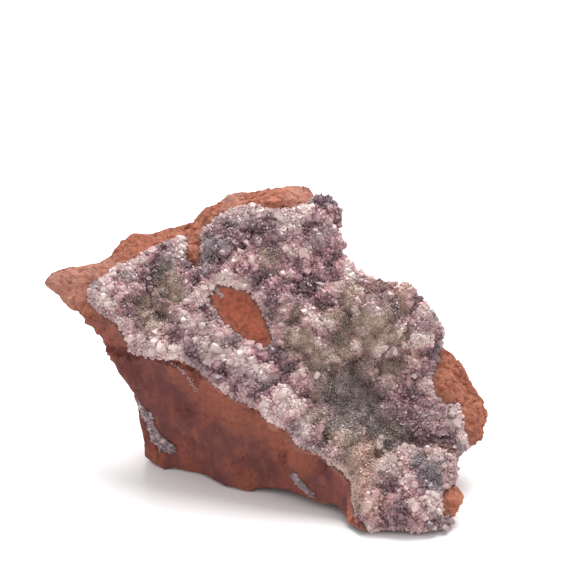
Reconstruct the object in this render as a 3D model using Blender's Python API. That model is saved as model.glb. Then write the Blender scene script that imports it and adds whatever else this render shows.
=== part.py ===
"""Adamite in limonite matrix: a broken lump of limonite with a crust of adamite crystals.

The faces that show are laid out on a drawing plane that leans back, the way the specimen is looked
at when it stands on a table. A point on it has three measures in millimetres: how far across and how
far up the plane it lies, and how far behind it. The hidden back and the underside are laid out in
plain millimetres: x to the right, y away from the viewer and z up from the table.
"""

import math
import random

import bmesh
import bpy
from mathutils import Vector, noise
from mathutils.geometry import delaunay_2d_cdt

# Driving dimensions, in millimetres and degrees

MM = 0.001
DRAWING_TILT = math.radians(20)
EYE_DISTANCE = 420.0
DRAWING_CENTRE = Vector((0.0, -4.0, 27.0))

# The zones of the surface, and how long an edge of the solids may be in each

BARE, CRUST, SCAR, LEFT_VEIN, UNDERSIDE_VEIN = range(5)
LONGEST_EDGE = {BARE: 4.8, CRUST: 4.5, SCAR: 4.4, LEFT_VEIN: 2.6, UNDERSIDE_VEIN: 2.6}
BACK_COARSENESS = 1.3

# How deep the bed of each crust lies, how thick the crust is and how far its crystals stand up

BED_DEPTH = {CRUST: 2.1, SCAR: 1.5, LEFT_VEIN: 0.7, UNDERSIDE_VEIN: 0.6}
SHEET = {CRUST: 0.8, LEFT_VEIN: 0.35, UNDERSIDE_VEIN: 0.35}
CRYSTAL_HEIGHT = {CRUST: (1.0, 2.3), LEFT_VEIN: (0.3, 0.7), UNDERSIDE_VEIN: (0.3, 0.7)}
GAP = 0.3

# Low druse lines these hollows: across and up the drawing plane, reach, and share of the full height,
# which is reached a little before the middle

DRUSE_HOLLOWS = [
    ((-20.8, 10.4), 6.5, 0.45), ((18.0, -4.0), 10.0, 0.45),
    ((21.0, -12.0), 7.0, 0.4), ((12.0, 4.0), 6.0, 0.7),
]
DRUSE_STEEPNESS = 1.6

# The end of a crystal: the shares of its foot that a chisel keeps along and across, the share that a
# blunt point keeps, how far the end leans, and how tall a crystal may be for its width

CHISEL_LENGTH = (0.55, 0.8)
CHISEL_WIDTH = (0.15, 0.5)
POINT_WIDTH = (0.25, 0.5)
LEAN = 0.4
SLENDERNESS = 1.1

# Relief: each is the size of a lump, ledge or chip across, and how high it stands. It is lower along
# the outline, beside a crust and towards the thin left tip, and nothing bare hangs below the foot

ROCK_LUMPS = (10.0, 1.3)
ROCK_LEDGES = (13.0, 1.4)
ROCK_CHIPS = (4.4, 0.8)
CRUST_MOUNDS = (7.5, 1.1)
OUTLINE_SHARE = 0.2
BORDER_SHARE = 0.5
TIP_LENGTH = 22.0
FOOT_CLEARANCE = 0.5
SEED = 7

# How the solids are meshed: patches of larger and smaller facets, how far a crystal's foot strays,
# which edges count as flat, which triangles pair up under one crystal, and what counts as level

SIZE_PATCH = 6.0
SIZE_SPREAD = 0.35
STRAY = 0.5
STRAY_RATE = 3.7
FLAT_ANGLE = math.radians(20)
SOFTENING = 0.5
JOIN_ANGLE = math.radians(25)
JOIN_SHAPE = math.radians(60)
SNAP = 0.2
SAME_SPOT = 0.00001

# Outline of the specimen on the drawing plane, clockwise from the left tip

SKYLINE = [
    (-44.2, 14.6, 8.0), (-42.6, 16.9, 9.0), (-37.6, 18.0, 10.0), (-33.6, 19.0, 11.0),
    (-30.8, 20.4, 12.0), (-29.2, 22.6, 12.5), (-26.8, 24.6, 13.0), (-22.0, 25.2, 13.5),
    (-18.8, 26.0, 14.0), (-14.8, 27.2, 14.0), (-12.2, 29.4, 14.0), (-9.6, 30.2, 14.0),
    (-8.0, 33.2, 14.0), (-3.4, 33.0, 14.0), (-0.8, 33.4, 14.0), (3.2, 33.8, 14.0),
    (7.2, 34.4, 13.0), (11.2, 33.0, 10.0),
]
CREST = [
    (11.2, 33.0, 10.0), (14.0, 32.2, 8.0), (15.2, 28.6, 7.5), (14.0, 26.2, 7.0),
    (15.4, 23.2, 6.5), (15.6, 21.2, 6.0), (18.0, 17.6, 6.0), (21.4, 15.2, 6.5),
    (25.2, 15.4, 7.0), (29.0, 13.0, 6.5), (32.2, 10.6, 6.0), (35.2, 7.4, 5.5),
    (36.6, 4.8, 4.5), (36.2, 2.8, 4.0),
]
RIGHT_FLANK = [
    (36.2, 2.8, 4.0), (39.2, -1.4, 6.0), (41.2, -5.0, 7.0), (43.8, -9.0, 7.0),
    (44.4, -12.4, 6.0), (43.4, -16.4, 4.0), (42.2, -18.0, 2.5),
]
CRUST_TIP = [(42.2, -18.0, 2.5), (40.0, -18.9, 0.0), (39.0, -21.0, -4.0)]
LOBE_SIDE = [(39.0, -21.0, -4.0), (39.2, -23.6, -7.5)]
LOBE_SCAR_EDGE = [(39.2, -23.6, -7.5), (40.2, -26.8, -10.0), (40.0, -28.8, -11.5), (39.2, -32.0, -12.0)]
LOBE_FOOT = [
    (39.2, -32.0, -12.0), (37.8, -33.5, -13.5), (32.2, -34.5, -16.0), (27.4, -34.0, -15.4),
    (23.8, -34.0, -15.0), (21.4, -34.2, -15.0),
]
LOBE_HEEL = [(21.4, -34.2, -15.0), (19.4, -34.0, -14.6), (17.2, -32.8, -11.4), (15.4, -29.6, -7.2)]
FACE_FOOT = [
    (15.4, -29.6, -7.2), (13.2, -29.0, -5.5), (8.8, -27.8, -3.0), (5.4, -26.6, 0.0),
    (-1.4, -26.2, 3.5), (-2.8, -27.0, 4.0), (-7.8, -26.0, 6.4), (-12.8, -23.8, 11.7),
    (-17.8, -22.7, 14.4), (-20.0, -22.8, 14.2),
]
LEFT_FLANK = [
    (-20.0, -22.8, 14.2), (-22.6, -21.8, 16.4), (-23.9, -20.2, 17.0), (-24.0, -17.4, 14.8),
    (-24.5, -13.4, 12.0), (-26.4, -7.4, 8.4), (-28.8, -3.4, 6.2), (-31.2, 0.6, 4.6),
    (-32.8, 4.6, 4.0), (-36.6, 8.6, 5.6), (-39.4, 10.6, 6.8), (-42.2, 12.7, 7.6),
    (-44.2, 14.6, 8.0),
]

# Edges of the crust on the drawing plane

CRUST_TOP_EDGE = [
    (-35.4, 15.0, 5.6), (-33.0, 16.4, 6.0), (-29.7, 18.2, 6.6), (-25.1, 20.8, 7.0),
    (-19.8, 23.6, 7.6), (-16.2, 24.6, 7.4), (-15.9, 19.4, 4.8), (-13.4, 18.5, 4.0),
    (-13.0, 26.1, 7.2), (-10.8, 27.6, 7.0), (-7.8, 29.9, 7.2), (-3.2, 31.2, 6.6),
    (1.0, 30.0, 6.0), (5.2, 30.2, 6.0), (8.8, 31.4, 7.0), (11.2, 33.0, 10.0),
]
CRUST_RIDGE = [
    (21.4, -34.2, -15.0), (20.0, -32.4, -14.8), (18.0, -30.4, -12.8), (17.2, -27.6, -11.6),
    (18.0, -24.2, -11.4), (16.6, -21.4, -10.9), (11.8, -18.0, -10.2), (7.2, -16.2, -9.8),
    (5.2, -13.0, -9.2), (1.5, -11.8, -8.6), (-1.2, -8.8, -7.9), (-6.2, -7.0, -7.0),
    (-10.8, -4.0, -5.8), (-13.4, -1.4, -5.0), (-17.4, 0.8, -4.0), (-21.0, 0.8, -3.0),
    (-25.8, 2.0, -1.8), (-28.2, 6.4, -0.4), (-32.6, 8.8, 1.6), (-35.6, 11.6, 3.8),
    (-35.4, 15.0, 5.6),
]
CRUST_RIGHT_EDGE = [
    (36.2, 2.8, 4.0), (34.8, -1.2, 1.4), (33.2, -4.2, 0.2), (33.8, -7.0, -0.4),
    (36.6, -9.2, -0.6), (39.6, -9.4, 0.8), (40.6, -13.2, 0.4), (42.2, -18.0, 2.5),
]
BARE_PATCH = [
    (-9.8, 15.6, -0.3), (-6.6, 15.0, -0.5), (-3.0, 14.2, -0.8), (-0.6, 10.4, -2.0),
    (1.9, 5.4, -3.2), (2.2, 3.2, -3.8), (0.2, 2.3, -4.3), (-3.0, 3.6, -4.0),
    (-6.5, 6.0, -3.2), (-9.7, 9.6, -2.0), (-12.0, 12.6, -0.9), (-11.0, 13.9, -0.5),
]
LOBE_SCAR = [
    (39.2, -32.0, -12.0), (37.2, -31.2, -13.6), (36.2, -28.6, -13.8), (35.8, -25.8, -12.4),
    (37.2, -24.3, -10.6), (39.2, -23.6, -7.5),
]

# Relief inside those edges: the rim of the lobe, what lies just behind it, and single points

LOBE_RIM = [
    (22.6, -20.9, -9.2), (25.0, -19.5, -8.8), (29.0, -18.8, -8.4), (33.2, -19.4, -8.0), (36.6, -21.0, -7.2),
]
BEHIND_RIM = [
    (22.4, -19.6, -5.0), (25.0, -18.3, -4.0), (29.0, -17.6, -3.4), (33.4, -18.1, -3.4), (36.9, -19.6, -3.8),
]
CRUST_POINTS = [
    (-32.6, 12.2, 2.6), (-28.6, 13.6, 1.4), (-27.6, 9.4, -0.4), (-22.8, 15.8, 4.2),
    (-20.6, 10.4, 4.8), (-23.0, 6.6, 2.0), (-18.8, 4.0, -2.0), (-15.6, 8.6, -0.4),
    (-16.6, 14.6, 2.4), (-19.6, 19.0, 5.6), (-9.8, 21.2, 3.4), (-13.4, 14.4, 0.6),
    (-6.0, 25.4, 4.4), (-0.8, 23.6, 3.4), (5.2, 24.6, 3.6), (11.2, 26.6, 4.4),
    (12.4, 20.4, 2.6), (-2.6, 18.0, 0.9), (4.4, 17.6, 1.0), (5.2, 11.0, -0.8),
    (7.0, 5.2, -2.2), (13.2, 13.4, 1.2), (17.2, 7.0, 1.4), (24.2, 11.4, 2.6),
    (27.2, 4.2, 2.2), (32.0, 5.4, 1.2), (-9.8, 2.6, -4.4), (-4.8, -2.0, -5.6),
    (3.8, -1.6, -4.6), (3.4, -6.6, -6.2), (9.4, -4.0, -3.0), (9.6, -11.2, -6.4),
    (16.4, -3.4, 1.2), (15.4, -10.4, -2.6), (21.4, -8.4, 2.6), (21.2, -14.4, -0.6),
    (15.2, -16.0, -7.4), (18.6, -19.6, -8.4), (28.4, -6.2, 1.6), (27.2, -12.4, 0.2),
    (32.0, -12.4, -1.2), (36.8, -13.4, -1.8), (37.8, -17.2, -2.6), (20.8, -24.6, -11.8),
]
LOBE_POINTS = [
    (24.4, -25.2, -13.4), (29.6, -23.6, -12.8), (33.4, -25.6, -12.6), (22.4, -30.0, -15.2),
    (27.2, -30.2, -16.6), (32.4, -30.0, -16.4), (35.2, -30.8, -15.4),
]
BARE_POINTS = [
    (-38.8, 14.2, 7.0), (-42.8, 14.7, 7.4), (-4.6, 10.2, -0.9), (-2.4, 7.0, -2.2), (38.0, -5.2, 2.0),
    (42.0, -11.6, 3.2), (-30.0, 3.8, 2.6), (-27.6, 0.4, 2.4), (-23.6, -6.6, 4.4),
    (-18.4, -5.4, 1.0), (-20.2, -15.4, 11.4), (-13.6, -12.2, 4.2), (-14.6, -18.6, 10.6),
    (-8.4, -12.6, -1.4), (-6.6, -19.4, 2.6), (-4.0, -14.0, -4.4), (1.4, -22.8, -0.6),
    (7.2, -19.6, -7.4), (9.8, -22.6, -5.6), (13.8, -24.4, -8.4), (37.6, -27.8, -12.8),
]
LEFT_VEIN_EDGE = [
    (-25.6, -8.4, 7.0), (-24.2, -10.6, 8.0), (-22.6, -11.4, 8.4), (-22.2, -13.8, 10.0),
    (-20.4, -16.4, 12.0), (-17.8, -18.2, 12.4), (-18.2, -19.6, 13.6), (-20.6, -19.0, 14.2),
    (-22.4, -17.0, 13.4), (-23.6, -13.4, 11.4), (-24.8, -11.0, 9.4),
]
FACE_ARC = [(0.2, -17.4, -5.4), (2.4, -18.2, -6.6), (3.9, -19.6, -6.6), (4.6, -21.4, -5.4)]
UNDERSIDE_VEIN_EDGE = [
    (6.2, -22.8, -4.0), (8.4, -25.4, -4.4), (10.6, -28.0, -4.2), (8.8, -27.2, -3.6),
    (6.6, -25.2, -2.8), (5.2, -23.2, -3.0),
]

# How far the crust laps over the crest, on the drawing plane

CREST_LAP = [
    (11.6, 29.6, 14.5), (11.8, 25.6, 14.0), (14.0, 21.0, 13.0), (16.4, 16.4, 12.5),
    (20.8, 13.0, 13.0), (25.2, 13.6, 14.0), (29.2, 10.2, 13.5), (33.0, 6.6, 12.0), (34.4, 3.8, 9.0),
]

# The hidden back and the underside, in plain millimetres from the table

BACK_POINTS = [
    (-36.0, 12.0, 38.5), (-26.0, 17.0, 42.5), (-15.0, 20.5, 46.5), (-4.0, 24.0, 51.0),
    (8.0, 25.0, 51.5), (9.5, 24.0, 46.5), (-33.0, 14.0, 36.0), (-24.0, 22.0, 38.5), (-14.0, 28.5, 39.0),
    (-3.0, 31.0, 41.0), (6.0, 29.0, 42.5), (14.5, 26.0, 37.0), (26.0, 20.5, 30.0), (31.0, 14.5, 28.0),
    (-29.0, 12.0, 26.0), (-21.0, 19.5, 27.0), (-11.0, 25.0, 29.0), (0.0, 26.5, 30.0), (9.0, 28.5, 28.0),
    (18.0, 27.5, 26.0), (26.0, 23.0, 23.0), (34.0, 16.0, 21.0), (38.5, 9.0, 21.0), (-25.0, 12.5, 15.0),
    (-18.0, 21.0, 15.0), (-8.0, 26.5, 16.0), (3.0, 24.5, 17.0), (11.0, 26.0, 14.0), (20.0, 27.0, 13.0),
    (29.0, 22.0, 14.0), (36.0, 13.5, 13.0), (41.0, 5.0, 14.0), (-20.0, 16.0, 1.5), (-10.0, 22.0, 2.0),
    (1.0, 21.0, 2.5), (12.0, 23.0, 2.0), (22.0, 22.5, 2.5), (29.0, 15.0, 3.0), (35.0, 6.0, 3.5),
    (38.5, 1.0, 6.0),
]
UNDERSIDE_POINTS = [
    (-19.0, 9.5, -1.0), (-12.0, 6.0, -1.0), (-6.0, -0.5, -1.0), (-12.0, 16.0, -1.0), (0.0, 17.0, -1.0),
    (11.0, 16.0, -1.0), (3.0, 6.0, 2.4), (11.0, -3.0, 3.0), (22.0, 11.0, -1.0), (27.0, -3.0, 2.4),
    (20.0, -14.0, 2.4), (30.0, -12.0, 1.6), (23.0, -24.5, -1.8), (31.5, -24.5, -1.8), (27.0, -19.0, -1.6),
]

# Colour, roughness and metallic value of each finish

FINISHES = {
    "limonite": ((0.235, 0.065, 0.030, 1.0), 0.85, 0.0),
    "adamite": ((0.400, 0.270, 0.300, 1.0), 0.35, 0.0),
    "vein_adamite": ((0.290, 0.270, 0.330, 1.0), 0.45, 0.0),
}


def from_drawing(point):
    """The place of a point of the drawing plane, as an eye at EYE_DISTANCE sees it."""
    across, up, behind = point
    spread = 1.0 + behind / EYE_DISTANCE
    lean, rise = math.sin(DRAWING_TILT), math.cos(DRAWING_TILT)
    return DRAWING_CENTRE + Vector((
        across * spread,
        up * spread * lean + behind * rise,
        up * spread * rise - behind * lean,
    ))


def to_drawing(place):
    """Where a place shows on the drawing plane: how far across and how far up."""
    offset = place - DRAWING_CENTRE
    lean, rise = math.sin(DRAWING_TILT), math.cos(DRAWING_TILT)
    behind = offset.y * rise - offset.z * lean
    spread = 1.0 + behind / EYE_DISTANCE
    return Vector((offset.x / spread, (offset.y * lean + offset.z * rise) / spread))


def inside(spot, loop):
    """Whether a spot of the drawing plane lies inside a closed loop of spots."""
    crossings = 0
    for start, end in zip(loop, loop[1:] + loop[:1]):
        if (start[1] > spot[1]) != (end[1] > spot[1]):
            share = (spot[1] - start[1]) / (end[1] - start[1])
            crossings += spot[0] < start[0] + share * (end[0] - start[0])
    return crossings % 2 == 1


def chained(*lines):
    """One closed loop from lines that each start where the last one ended."""
    return [point for line in lines for point in line[:-1]]


def add_relief(bm, verts, outline, lines, points, zones, faces_viewer):
    """Spans an outline with triangles that run through the lines and the points."""
    places = list(outline)
    edges = [(i, (i + 1) % len(outline)) for i in range(len(outline))]
    for line, closed in lines:
        first = len(places)
        places += line
        edges += [(first + i, first + i + 1) for i in range(len(line) - 1)]
        if closed:
            edges.append((first + len(line) - 1, first))
    places += points
    spots = [to_drawing(place) for place in places]
    keep_inside = 1
    _, _, triangles, sources, _, _ = delaunay_2d_cdt(spots, edges, [], keep_inside, SAME_SPOT)
    zone_layer = bm.faces.layers.int["zone"]
    front_layer = bm.faces.layers.int["front"]
    for triangle in triangles:
        corners = []
        for index in triangle:
            place = places[sources[index][0]]
            key = tuple(round(value, 3) for value in place)
            if key not in verts:
                verts[key] = bm.verts.new(place)
            corners.append(verts[key])
        face = bm.faces.new(corners if faces_viewer else reversed(corners))
        face[front_layer] = faces_viewer
        middle = sum((spots[sources[index][0]] for index in triangle), Vector((0.0, 0.0))) / 3
        for zone, loop in zones:
            if inside(middle, loop):
                face[zone_layer] = zone


def flat_loop(loop):
    """A closed loop of places as its spots on the drawing plane."""
    return [tuple(to_drawing(place)) for place in loop]


def laid_out(line):
    """A line of the drawing plane as places."""
    return [from_drawing(point) for point in line]


def zones_round(vert, zone_layer):
    """The zones of the faces that meet at a vertex."""
    return {face[zone_layer] for face in vert.link_faces}


def on_outline(vert, front_layer):
    """Whether what shows and what is hidden meet at a vertex."""
    return len({face[front_layer] for face in vert.link_faces}) == 2


def beside_crust(vert, zone_layer):
    """Whether an edge leads from a vertex to the border of a crust."""
    return any(len(zones_round(edge.other_vert(vert), zone_layer)) > 1 for edge in vert.link_edges)


def split_long_edges(bm):
    """Halves every edge that is longer than its zone allows, until none is."""
    zone_layer = bm.faces.layers.int["zone"]
    front_layer = bm.faces.layers.int["front"]
    while True:
        long_edges = []
        for edge in bm.edges:
            middle = (edge.verts[0].co + edge.verts[1].co) / 2
            longest = min(
                LONGEST_EDGE[face[zone_layer]] * (1.0 if face[front_layer] else BACK_COARSENESS)
                for face in edge.link_faces
            )
            if edge.calc_length() > longest * (1.0 + SIZE_SPREAD * noise.noise(middle / SIZE_PATCH)):
                long_edges.append(edge)
        if not long_edges:
            return
        bmesh.ops.subdivide_edges(bm, edges=long_edges, cuts=1)
        wide = [face for face in bm.faces if len(face.verts) > 3]
        bmesh.ops.triangulate(bm, faces=wide, quad_method="SHORT_EDGE", ngon_method="BEAUTY")


def even_out(bm):
    """Turns edges for better triangles and softens the cage, but keeps each zone's border."""
    zone_layer = bm.faces.layers.int["zone"]
    flat_edges = [
        edge for edge in bm.edges
        if len({face[zone_layer] for face in edge.link_faces}) == 1 and edge.calc_face_angle() < FLAT_ANGLE
    ]
    bmesh.ops.beautify_fill(bm, faces=bm.faces[:], edges=flat_edges, method="ANGLE")
    front_layer = bm.faces.layers.int["front"]
    inner = [
        vert for vert in bm.verts
        if len(zones_round(vert, zone_layer)) == 1 and not on_outline(vert, front_layer)
    ]
    bmesh.ops.smooth_vert(
        bm, verts=inner, factor=SOFTENING, use_axis_x=True, use_axis_y=True, use_axis_z=True,
    )


def rock_cage():
    """The lump before it is roughened: what shows, joined to the back along the outline."""
    bm = bmesh.new()
    bm.faces.layers.int.new("zone")
    bm.faces.layers.int.new("front")
    outline = laid_out(chained(
        SKYLINE, CREST, RIGHT_FLANK, CRUST_TIP, LOBE_SIDE, LOBE_SCAR_EDGE,
        LOBE_FOOT, LOBE_HEEL, FACE_FOOT, LEFT_FLANK,
    ))
    crust_loop = flat_loop(laid_out(chained(
        CRUST_TOP_EDGE, CREST, CRUST_RIGHT_EDGE, CRUST_TIP, LOBE_SIDE, LOBE_SCAR[::-1],
        LOBE_FOOT, CRUST_RIDGE,
    )))
    patch = laid_out(BARE_PATCH)
    left_vein = laid_out(LEFT_VEIN_EDGE)
    underside_vein = laid_out(UNDERSIDE_VEIN_EDGE)
    verts = {}
    front_lines = [
        (laid_out(CRUST_TOP_EDGE), False), (laid_out(CRUST_RIDGE), False),
        (laid_out(CRUST_RIGHT_EDGE), False), (laid_out(LOBE_SCAR), False),
        (laid_out(LOBE_RIM), False), (laid_out(BEHIND_RIM), False), (laid_out(FACE_ARC), False),
        (patch, True), (left_vein, True), (underside_vein, True),
    ]
    front_zones = [
        (CRUST, crust_loop), (SCAR, flat_loop(patch)),
        (LEFT_VEIN, flat_loop(left_vein)), (UNDERSIDE_VEIN, flat_loop(underside_vein)),
    ]
    front_points = laid_out(CRUST_POINTS + LOBE_POINTS + BARE_POINTS)
    add_relief(bm, verts, outline, front_lines, front_points, front_zones, True)

    lap_line = laid_out([CREST[0]] + CREST_LAP + [CREST[-1]])
    lap_loop = flat_loop(laid_out(CREST[:-1]) + lap_line[:0:-1])
    back_points = [Vector(point) for point in BACK_POINTS + UNDERSIDE_POINTS]
    add_relief(bm, verts, outline, [(lap_line, False)], back_points, [(CRUST, lap_loop)], False)
    return bm


def mean_normal(vert, zones, zone_layer):
    """Which way the faces of some zones look out at a vertex: shorter than 1 where they fold sharply."""
    faces = [face for face in vert.link_faces if face[zone_layer] in zones]
    total = sum((face.normal * face.calc_area() for face in faces), Vector((0.0, 0.0, 0.0)))
    return total / sum(face.calc_area() for face in faces)


def sink_beds(bm):
    """Lowers the rock under each crust, and the bare patch inside the crust, by the depth of its bed."""
    zone_layer = bm.faces.layers.int["zone"]
    bm.normal_update()
    moves = []
    for vert in bm.verts:
        sunk = zones_round(vert, zone_layer) - {BARE}
        if sunk:
            depth = max(BED_DEPTH[zone] for zone in sunk)
            moves.append((vert, mean_normal(vert, sunk, zone_layer) * depth))
    for vert, move in moves:
        vert.co -= move


def roughen(bm):
    """Breaks the bare rock into lumps, ledges and chips, and swells the bed of the crust into mounds."""
    zone_layer = bm.faces.layers.int["zone"]
    front_layer = bm.faces.layers.int["front"]
    tip = from_drawing(SKYLINE[0])
    noise.seed_set(SEED)
    bm.normal_update()
    moves = []
    for vert in bm.verts:
        zones = zones_round(vert, zone_layer)
        move = Vector((0.0, 0.0, 0.0))
        if zones == {BARE} and vert.co.z > 0.0:
            rise = noise.noise(vert.co / ROCK_LUMPS[0]) * ROCK_LUMPS[1]
            rise += (noise.cell(vert.co / ROCK_LEDGES[0]) - 0.5) * ROCK_LEDGES[1]
            rise += (noise.cell(vert.co / ROCK_CHIPS[0]) - 0.5) * ROCK_CHIPS[1]
            rise *= min(1.0, (vert.co - tip).length / TIP_LENGTH)
            if on_outline(vert, front_layer):
                rise *= OUTLINE_SHARE
            elif beside_crust(vert, zone_layer):
                rise *= BORDER_SHARE
            move = vert.normal * rise
            move.z = max(move.z, FOOT_CLEARANCE - vert.co.z)
        elif zones == {CRUST}:
            stray = noise.noise_vector(vert.co * STRAY_RATE) * STRAY
            move = stray - vert.normal * stray.dot(vert.normal)
            if all(face[front_layer] for face in vert.link_faces):
                move += vert.normal * noise.noise(vert.co / CRUST_MOUNDS[0]) * CRUST_MOUNDS[1]
        moves.append((vert, move))
    for vert, move in moves:
        vert.co += move


def level_foot(bm, height):
    """Cuts a solid off level at a height above the table."""
    for vert in bm.verts:
        if abs(vert.co.z - height) < SNAP:
            vert.co.z = height
    geometry = bm.verts[:] + bm.edges[:] + bm.faces[:]
    bmesh.ops.bisect_plane(
        bm, geom=geometry, dist=SAME_SPOT, plane_co=(0.0, 0.0, height), plane_no=(0.0, 0.0, -1.0),
        clear_outer=True,
    )
    open_edges = [edge for edge in bm.edges if edge.is_boundary]
    if open_edges:
        bmesh.ops.holes_fill(bm, edges=open_edges, sides=0)


def crystal_share(place):
    """How tall the crystals grow at a place, as a share of their full height."""
    spot = to_drawing(place)
    share = 1.0
    for centre, reach, least in DRUSE_HOLLOWS:
        nearness = max(0.0, 1.0 - (spot - Vector(centre)).length / reach)
        share = min(share, 1.0 - (1.0 - least) * min(1.0, DRUSE_STEEPNESS * nearness))
    return share


def grow_crystal(face, height, chance):
    """Turns a raised face into the end of a crystal: a chisel on four sides, a blunt point on three."""
    middle = face.calc_center_median()
    normal = face.normal.copy()
    corners = face.verts[:]
    if len(corners) == 4:
        first = (corners[0].co + corners[1].co - corners[2].co - corners[3].co) / 2
        second = (corners[1].co + corners[2].co - corners[3].co - corners[0].co) / 2
        long_axis, short_axis = (first, second) if first.length > second.length else (second, first)
        keep_long, keep_short = chance.uniform(*CHISEL_LENGTH), chance.uniform(*CHISEL_WIDTH)
    else:
        long_axis = corners[0].co - middle
        short_axis = normal.cross(long_axis)
        keep_long = keep_short = chance.uniform(*POINT_WIDTH)
    along = long_axis.normalized()
    lean = (1.0 - max(keep_long, keep_short)) * long_axis.length * LEAN
    sideways = short_axis.normalized() * chance.uniform(-lean, lean) + along * chance.uniform(-lean, lean)
    for corner in corners:
        offset = corner.co - middle
        on_long = along * offset.dot(along)
        narrowed = on_long * keep_long + (offset - on_long) * keep_short
        corner.co = middle + narrowed + normal * height + sideways


def crust_solid(bm, zone, chance):
    """A crust on its bed: a thin sheet that follows the rock, with a crystal on every face."""
    zone_layer = bm.faces.layers.int["zone"]
    bm.normal_update()
    crust = bmesh.new()
    twins, outward = {}, {}
    for face in bm.faces:
        if face[zone_layer] != zone:
            continue
        for vert in face.verts:
            if vert not in twins:
                normal = mean_normal(vert, {zone}, zone_layer).normalized()
                twins[vert] = crust.verts.new(vert.co + normal * GAP)
                outward[twins[vert].co.copy().freeze()] = normal
        crust.faces.new([twins[vert] for vert in face.verts])
    raised = bmesh.ops.extrude_face_region(crust, geom=crust.faces[:] + crust.edges[:], use_keep_orig=True)
    for vert in [item for item in raised["geom"] if isinstance(item, bmesh.types.BMVert)]:
        vert.co += outward[vert.co.copy().freeze()] * SHEET[zone]
    tops = [item for item in raised["geom"] if isinstance(item, bmesh.types.BMFace)]
    bmesh.ops.recalc_face_normals(crust, faces=crust.faces[:])
    paired = bmesh.ops.join_triangles(
        crust, faces=tops, angle_face_threshold=JOIN_ANGLE, angle_shape_threshold=JOIN_SHAPE,
    )["faces"]
    seats = list(dict.fromkeys([face for face in tops if face.is_valid] + paired))
    ends = bmesh.ops.extrude_discrete_faces(crust, faces=seats)["faces"]
    least, most = CRYSTAL_HEIGHT[zone]
    for face in ends:
        face.normal_update()
        height = chance.uniform(least, most) * crystal_share(face.calc_center_median())
        height = min(height, SLENDERNESS * math.sqrt(face.calc_area()))
        grow_crystal(face, height, chance)
    return crust


def finish_material(name):
    """A Principled material of one of the finishes."""
    colour, roughness, metallic = FINISHES[name]
    material = bpy.data.materials.new(name)
    material.use_nodes = True
    shader = material.node_tree.nodes["Principled BSDF"]
    shader.inputs["Base Color"].default_value = colour
    shader.inputs["Roughness"].default_value = roughness
    shader.inputs["Metallic"].default_value = metallic
    material.diffuse_color = colour
    return material


def in_fixed_order(bm):
    """Orders the faces by their first corners, so that every run gives the same mesh."""
    bm.verts.index_update()
    count = len(bm.verts)
    bm.faces.sort(key=lambda face: sum(face.verts[i].index * count ** i for i in range(3)))


def add_piece(name, bm, finish, origin):
    """Makes one named piece, in metres, with the specimen's origin under its middle."""
    in_fixed_order(bm)
    bmesh.ops.translate(bm, vec=-origin, verts=bm.verts)
    bmesh.ops.scale(bm, vec=(MM, MM, MM), verts=bm.verts)
    mesh = bpy.data.meshes.new(name)
    bm.to_mesh(mesh)
    bm.free()
    mesh.materials.append(finish_material(finish))
    bpy.context.scene.collection.objects.link(bpy.data.objects.new(name, mesh))


def under_the_middle(solids):
    """The point on the table under the middle of the solids."""
    places = [vert.co for bm in solids for vert in bm.verts]
    middle = [(min(place[i] for place in places) + max(place[i] for place in places)) / 2 for i in range(2)]
    return Vector((middle[0], middle[1], 0.0))


def main():
    """Clears the scene, then makes the rock and grows each crust on it."""
    for old in list(bpy.data.objects):
        bpy.data.objects.remove(old, do_unlink=True)
    chance = random.Random(SEED)
    rock = rock_cage()
    split_long_edges(rock)
    even_out(rock)
    sink_beds(rock)
    roughen(rock)
    solids = {
        "adamite_crust": (crust_solid(rock, CRUST, chance), "adamite"),
        "left_vein": (crust_solid(rock, LEFT_VEIN, chance), "vein_adamite"),
        "underside_vein": (crust_solid(rock, UNDERSIDE_VEIN, chance), "vein_adamite"),
    }
    level_foot(rock, 0.0)
    solids["limonite_matrix"] = (rock, "limonite")
    origin = under_the_middle([bm for bm, _ in solids.values()])
    for name, (bm, finish) in solids.items():
        add_piece(name, bm, finish, origin)


main()
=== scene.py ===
"""Adamite in limonite matrix, as it looks: rough rust-brown rock and a glassy crust of small crystals."""

import math
import random

import bmesh
import bpy
from mathutils import Matrix, Vector, noise
from mathutils.bvhtree import BVHTree
from mathutils.kdtree import KDTree


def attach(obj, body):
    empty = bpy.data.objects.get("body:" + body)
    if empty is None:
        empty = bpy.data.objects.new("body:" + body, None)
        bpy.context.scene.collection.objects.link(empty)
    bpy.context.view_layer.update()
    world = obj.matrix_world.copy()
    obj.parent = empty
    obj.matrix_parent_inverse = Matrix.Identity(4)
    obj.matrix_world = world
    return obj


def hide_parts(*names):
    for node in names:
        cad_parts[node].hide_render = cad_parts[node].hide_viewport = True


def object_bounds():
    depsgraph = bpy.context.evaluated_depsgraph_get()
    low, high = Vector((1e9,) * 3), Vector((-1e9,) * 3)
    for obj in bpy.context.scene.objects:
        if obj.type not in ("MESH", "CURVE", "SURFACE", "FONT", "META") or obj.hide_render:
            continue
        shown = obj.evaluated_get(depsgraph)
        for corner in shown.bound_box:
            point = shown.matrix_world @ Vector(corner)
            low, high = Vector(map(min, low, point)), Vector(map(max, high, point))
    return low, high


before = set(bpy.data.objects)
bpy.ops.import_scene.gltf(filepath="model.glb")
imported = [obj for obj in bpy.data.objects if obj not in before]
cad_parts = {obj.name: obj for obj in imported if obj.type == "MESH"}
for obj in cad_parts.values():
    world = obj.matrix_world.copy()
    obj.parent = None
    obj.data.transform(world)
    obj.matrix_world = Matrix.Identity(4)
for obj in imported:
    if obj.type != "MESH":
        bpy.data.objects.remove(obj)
cad_low, cad_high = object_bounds()
MM = 0.001

# The view
# The specimen stands on a white table. It is looked at from a little above, at arm's length, through a
# long lens that keeps the whole lump in a square picture. Lengths are in metres, and places in the
# picture in pixels.

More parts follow.
